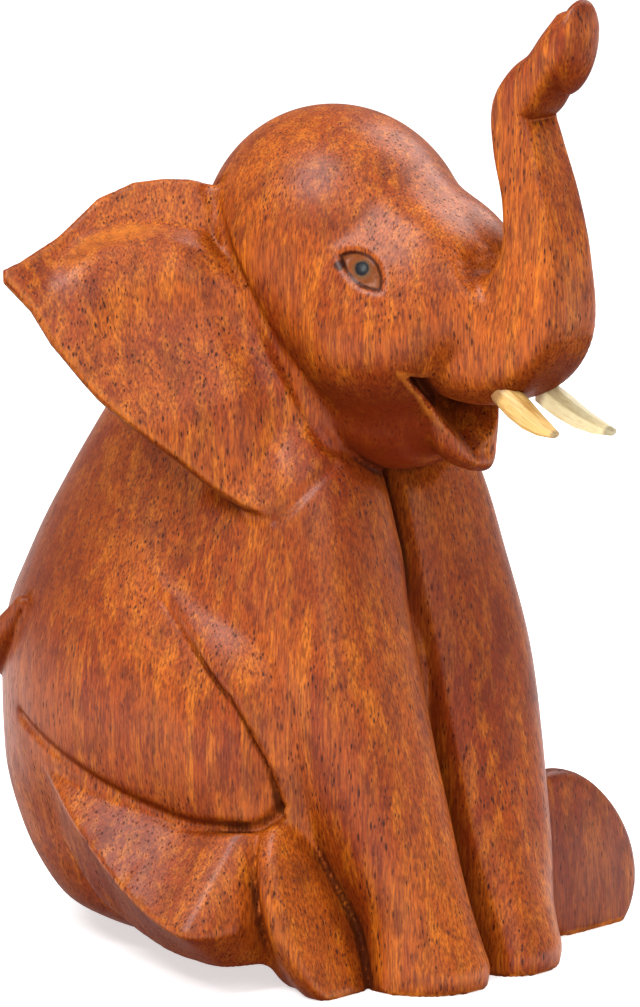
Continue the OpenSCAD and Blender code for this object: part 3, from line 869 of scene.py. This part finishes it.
def hardwood():
    n = Nodes("stained_hardwood")
    place = n.place()
    hollow, deep, proud = n.value("hollow"), n.value("deep"), n.value("proud")

    # broad figure of the wood: patches and long soft streaks that run up the block
    patch = n.noise(n.stretch(place, (20, 20, 42)), 3, 0.55, 0.6)
    streak = n.noise(n.stretch(place, (1.9, 1.9, 30)), 4, 0.62, 0.25)
    fibre = n.noise(n.stretch(place, (0.34, 0.34, 5.0)), 3, 0.65)
    mottle = n.noise(n.stretch(place, (3.8, 3.8, 7)), 4, 0.62, 0.4)
    grit = n.noise(n.stretch(place, (0.3, 0.3, 1.5)), 2, 0.6)
    base = n.mix(n.band(patch, 0.32, 0.68), srgb(192, 92, 20), srgb(150, 56, 12))
    base = n.mix(n.math("MULTIPLY", n.band(streak, 0.44, 0.68), 0.6), base, srgb(226, 126, 26))
    base = n.mix(n.math("MULTIPLY", n.band(mottle, 0.45, 0.70), 0.55), base, srgb(100, 34, 9))
    base = n.mix(n.math("MULTIPLY", n.band(fibre, 0.40, 0.64), 0.64), base, srgb(88, 28, 8))
    base = n.mix(n.math("MULTIPLY", n.band(grit, 0.44, 0.68), 0.3), base, srgb(80, 26, 8))
    base = n.mix(n.math("MULTIPLY", n.band(grit, 0.46, 0.26), 0.16), base, srgb(232, 140, 50))

    # open pores: narrow tubes up the grain, so dots on sloping faces and dashes on upright ones
    wander = n.noise(n.stretch(place, (9, 9, 60)), 2, 0.5)
    bend = n.add("ShaderNodeCombineXYZ")
    n.link(n.math("MULTIPLY", wander, 1.6 * MM), bend.inputs[0])
    bent = n.vec("ADD", place, bend.outputs[0])
    pore = None
    for size, length, keep in ((0.85, 3.4, 0.12), (0.6, 2.2, 0.3)):
        spot, tint = n.cells(n.stretch(bent, (size, size, length)))
        split = n.add("ShaderNodeSeparateColor")
        n.link(tint, split.inputs[0])
        kept = n.math("GREATER_THAN", split.outputs[0], keep)
        width = n.math("MULTIPLY_ADD", split.outputs[1], 0.13, 0.18)
        one = n.math("MULTIPLY", n.band(spot, width, n.math("MULTIPLY", width, 0.3)), kept)
        pore = one if pore is None else n.math("MAXIMUM", pore, one)
    crowd = n.band(n.noise(n.stretch(place, (8, 8, 26)), 2, 0.5), 0.3, 0.6, 0.45, 1.0)
    pore = n.math("MULTIPLY", pore, crowd)
    base = n.mix(n.math("MULTIPLY", pore, 0.92), base, srgb(44, 12, 6))

    # painted shade: faces that look down are darkened toward deep brown
    faces_up = n.dot(n.add("ShaderNodeNewGeometry").outputs["Normal"], (0, 0, 1))
    base = n.mix(n.band(faces_up, 0.15, -0.7, 0.0, 0.85), base, srgb(72, 20, 6))

    # painted shade: the wood is darkened in these patches
    for x, y, z, radius, strength in SHADE_PATCHES:
        away = n.vec("DISTANCE", place, (x * MM, y * MM, z * MM), out=1)
        ragged = n.math("MULTIPLY_ADD", patch, 0.6, -0.3)
        cover = n.math("ADD", n.math("DIVIDE", away, radius * MM), ragged)
        base = n.mix(n.band(cover, 1.25, 0.35, 0.0, strength), base, srgb(96, 30, 8))

    # painted shade darkens hollows and creases, edges are rubbed lighter
    base = n.mix(n.band(deep, 0.2, 0.85, 0.0, 0.45), base, srgb(92, 32, 12))
    base = n.mix(n.band(hollow, 0.25, 0.8, 0.0, 0.8), base, srgb(48, 16, 8))
    rub = n.math("MULTIPLY", n.band(proud, 0.22, 0.62), n.band(mottle, 0.3, 0.6, 1.0, 0.35))
    sunk = n.math("MAXIMUM", hollow, deep)
    rub = n.math("MULTIPLY", rub, n.band(sunk, 0.3, 0.1))
    base = n.mix(n.math("MULTIPLY", rub, 0.55), base, srgb(222, 132, 44))

    # the painted eye, on both sides
    axes = n.add("ShaderNodeSeparateXYZ")
    n.link(place, axes.inputs[0])
    folded = n.add("ShaderNodeCombineXYZ")
    n.link(n.math("ABSOLUTE", axes.outputs[0]), folded.inputs[0])
    n.link(axes.outputs[1], folded.inputs[1])
    n.link(axes.outputs[2], folded.inputs[2])
    q = n.vec("SUBTRACT", folded.outputs[0], tuple(float(x) * MM for x in EYE_AT))
    a, b, w = n.dot(q, EYE_A / MM), n.dot(q, EYE_B / MM), n.dot(q, EYE_N / MM)
    wobble = n.math("MULTIPLY_ADD", n.noise(n.stretch(place, (0.9, 0.9, 0.9)), 2, 0.5), 0.7, -0.35)

    def circle(centre_a, centre_b, radius):
        da = n.math("SUBTRACT", a, centre_a)
        db = n.math("SUBTRACT", b, centre_b)
        dist = n.math("SQRT", n.math("ADD", n.math("MULTIPLY", da, da), n.math("MULTIPLY", db, db)))
        return n.math("ADD", n.math("SUBTRACT", dist, radius), n.math("MULTIPLY", wobble, 0.5))

    lens = n.math("MAXIMUM", circle(*EYE_UPPER), circle(*EYE_LOWER))
    here = n.band(n.math("ABSOLUTE", w), 4.0, 3.0)
    inside = n.math("MULTIPLY", n.band(lens, 0.1, -0.2), here)
    base = n.mix(n.math("MULTIPLY", inside, 0.85), base, srgb(128, 70, 36))
    iris = n.math("MULTIPLY", n.band(circle(0, -0.1, 1.5), 0.2, -0.3), inside)
    base = n.mix(n.math("MULTIPLY", iris, 0.7), base, srgb(96, 72, 42))
    pupil = n.math("MULTIPLY", n.band(circle(0, 0, 1.1), 0.15, -0.2), here)
    base = n.mix(pupil, base, srgb(14, 18, 24))
    rim = n.math("MULTIPLY", n.band(n.math("ABSOLUTE", lens), 0.42, 0.12), here)
    base = n.mix(n.math("MULTIPLY", rim, 0.8), base, srgb(46, 20, 14))
    smudge = n.math("MULTIPLY", n.band(circle(-3.5, 0.4, 0.8), 0.35, -0.25), here)
    base = n.mix(n.math("MULTIPLY", smudge, 0.85), base, srgb(40, 18, 14))

    rough = n.math("MULTIPLY_ADD", mottle, 0.22, 0.36)
    rough = n.math("ADD", rough, n.math("MULTIPLY", pore, 0.25), clamp=True)
    rough = n.math("SUBTRACT", rough, n.math("MULTIPLY", rub, 0.06))
    tool = n.noise(n.stretch(place, (4.2, 4.2, 7.5)), 1, 0.4)
    normal = n.bump(tool, 0.55, 0.35)
    normal = n.bump(n.math("MULTIPLY", fibre, -1.0), 0.10, 0.35, normal)
    normal = n.bump(n.math("MULTIPLY", pore, -1.0), 0.22, 0.6, normal)
    # no sheen down in the creases, nor underneath
    open_face = n.math("MULTIPLY", n.band(sunk, 0.1, 0.6, 1.0, 0.1),
                       n.band(faces_up, -0.35, 0.15, 0.05, 1.0))
    return n.surface(base, rough, normal, coat=n.math("MULTIPLY", open_face, 0.16), coat_rough=0.27,
                     specular=n.math("MULTIPLY", open_face, 0.26))


def pale_wood():
    n = Nodes("pale_wood")
    place = n.place()
    axes = n.add("ShaderNodeSeparateXYZ")
    n.link(place, axes.inputs[0])
    left = n.math("GREATER_THAN", axes.outputs[0], 0.0)
    # texture space turned along the tusks
    along_tusk = n.dot(place, (0, -0.917, -0.40))
    across_tusk = n.dot(place, (0, 0.40, -0.917))
    turned = n.add("ShaderNodeCombineXYZ")
    n.link(axes.outputs[0], turned.inputs[0])
    n.link(across_tusk, turned.inputs[1])
    n.link(along_tusk, turned.inputs[2])
    grain = n.noise(n.stretch(turned.outputs[0], (0.5, 0.5, 9)), 3, 0.6, 0.4)
    patch = n.noise(n.stretch(place, (4, 4, 5)), 2, 0.5)
    golden = n.mix(n.band(grain, 0.4, 0.65), srgb(226, 184, 108), srgb(190, 138, 68))
    cream = n.mix(n.band(grain, 0.4, 0.7), srgb(240, 226, 178), srgb(218, 196, 142))
    base = n.mix(left, golden, cream)
    base = n.mix(n.band(patch, 0.4, 0.75, 0.0, 0.35), base, srgb(206, 172, 112))
    root = float(-(TUSK_ROOT[1]) * 0.917 - TUSK_ROOT[2] * 0.40) * MM
    tip = root + 12.0 * MM
    base = n.mix(n.band(along_tusk, root + 1.4 * MM, root, 0.0, 0.75), base, srgb(120, 72, 34))
    base = n.mix(n.band(along_tusk, tip - 0.7 * MM, tip, 0.0, 0.6), base, srgb(96, 84, 66))
    rough = n.math("MULTIPLY_ADD", grain, 0.2, 0.42)
    normal = n.bump(grain, 0.08, 0.5)
    return n.surface(base, rough, normal, coat=0.1, coat_rough=0.3)


wood = hardwood()
pale = pale_wood()
body.data.materials.append(wood)
for tusk in (tusk_right, tusk_left):
    tusk.data.materials.append(pale)

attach(body, "root")
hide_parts("carved_body")
for tusk, node in ((tusk_right, "tusk_right"), (tusk_left, "tusk_left")):
    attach(tusk, "root")
    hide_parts(node)


# ---------------------------------------------------------------- floor, light, camera
FLOOR_HALF = 6000
floor_corners = FLOOR_HALF * np.array([(-1, -1, 0), (1, -1, 0), (1, 1, 0), (-1, 1, 0)], float)
floor = mesh_object("floor", floor_corners, [[0, 1, 2, 3]], smooth=False)
f = Nodes("pale_floor")
paper = f.noise(f.stretch(f.place(), (60, 60, 60)), 4, 0.6)
floor.data.materials.append(f.surface(f.mix(paper, (0.88, 0.89, 0.90), (0.92, 0.92, 0.92)), 0.7,
                                      f.bump(paper, 0.05, 0.1), specular=0.2, glow=0.62))

world = bpy.data.worlds.new("studio")
world.use_nodes = True
world.node_tree.nodes["Background"].inputs[0].default_value = (0.93, 0.96, 1.0, 1.0)
world.node_tree.nodes["Background"].inputs[1].default_value = 0.27
bpy.context.scene.world = world
bpy.context.scene.view_settings.view_transform = "Standard"

CENTRE = Vector((0, 0, 76.8)) * MM
VIEW_TURN, VIEW_RISE = math.radians(-47.5), math.radians(11.5)
VIEW_DISTANCE = 1500 * MM
VIEW_HEIGHT = 154.0 * MM                # height of the view at the centre of the object
VIEW_SLIDE = (-1.8 * MM, -7.3 * MM)     # the object sits a little right of and above the middle
SENSOR = 24.0

toward = Vector((math.sin(VIEW_TURN) * math.cos(VIEW_RISE), -math.cos(VIEW_TURN) * math.cos(VIEW_RISE),
                 math.sin(VIEW_RISE)))
right = Vector((math.cos(VIEW_TURN), math.sin(VIEW_TURN), 0))
up = toward.cross(right)
aim = CENTRE + right * VIEW_SLIDE[0] + up * VIEW_SLIDE[1]

camera_data = bpy.data.cameras.new("camera")
camera_data.sensor_fit = "VERTICAL"
camera_data.sensor_height = SENSOR
camera_data.lens = SENSOR * VIEW_DISTANCE / VIEW_HEIGHT
camera_data.clip_start = 0.05
camera_data.clip_end = 50
camera = bpy.data.objects.new("camera", camera_data)
camera.matrix_world = Matrix((
    (right.x, up.x, toward.x, 0), (right.y, up.y, toward.y, 0), (right.z, up.z, toward.z, 0), (0, 0, 0, 1)))
camera.matrix_world.translation = aim + toward * VIEW_DISTANCE
bpy.context.collection.objects.link(camera)
bpy.context.scene.camera = camera


def softbox(name, direction, distance, size, power, colour=(1, 1, 1)):
    d = Vector(direction).normalized()
    data = bpy.data.lights.new(name, "AREA")
    data.shape = "RECTANGLE"
    data.size, data.size_y = size
    data.energy = power
    data.color = colour
    light = bpy.data.objects.new(name, data)
    light.location = CENTRE + d * distance
    light.rotation_euler = (-d).to_track_quat("-Z", "Y").to_euler()
    bpy.context.collection.objects.link(light)


def lit_from(across, above, ahead):
    """A direction given as seen by the camera: to the right, up, toward the viewer."""
    return right * across + Vector((0, 0, 1)) * above + toward * ahead


softbox("right_box", lit_from(0.6, 1.05, -0.6), 0.8, (0.45, 0.6), 4.9, (1.0, 0.99, 0.98))
softbox("left_box", lit_from(-0.62, 1.05, 0.5), 0.85, (0.4, 0.5), 7.2, (1.0, 0.99, 0.98))
softbox("front_fill", lit_from(0.25, 0.5, 1.0), 1.1, (0.7, 0.7), 3.0)
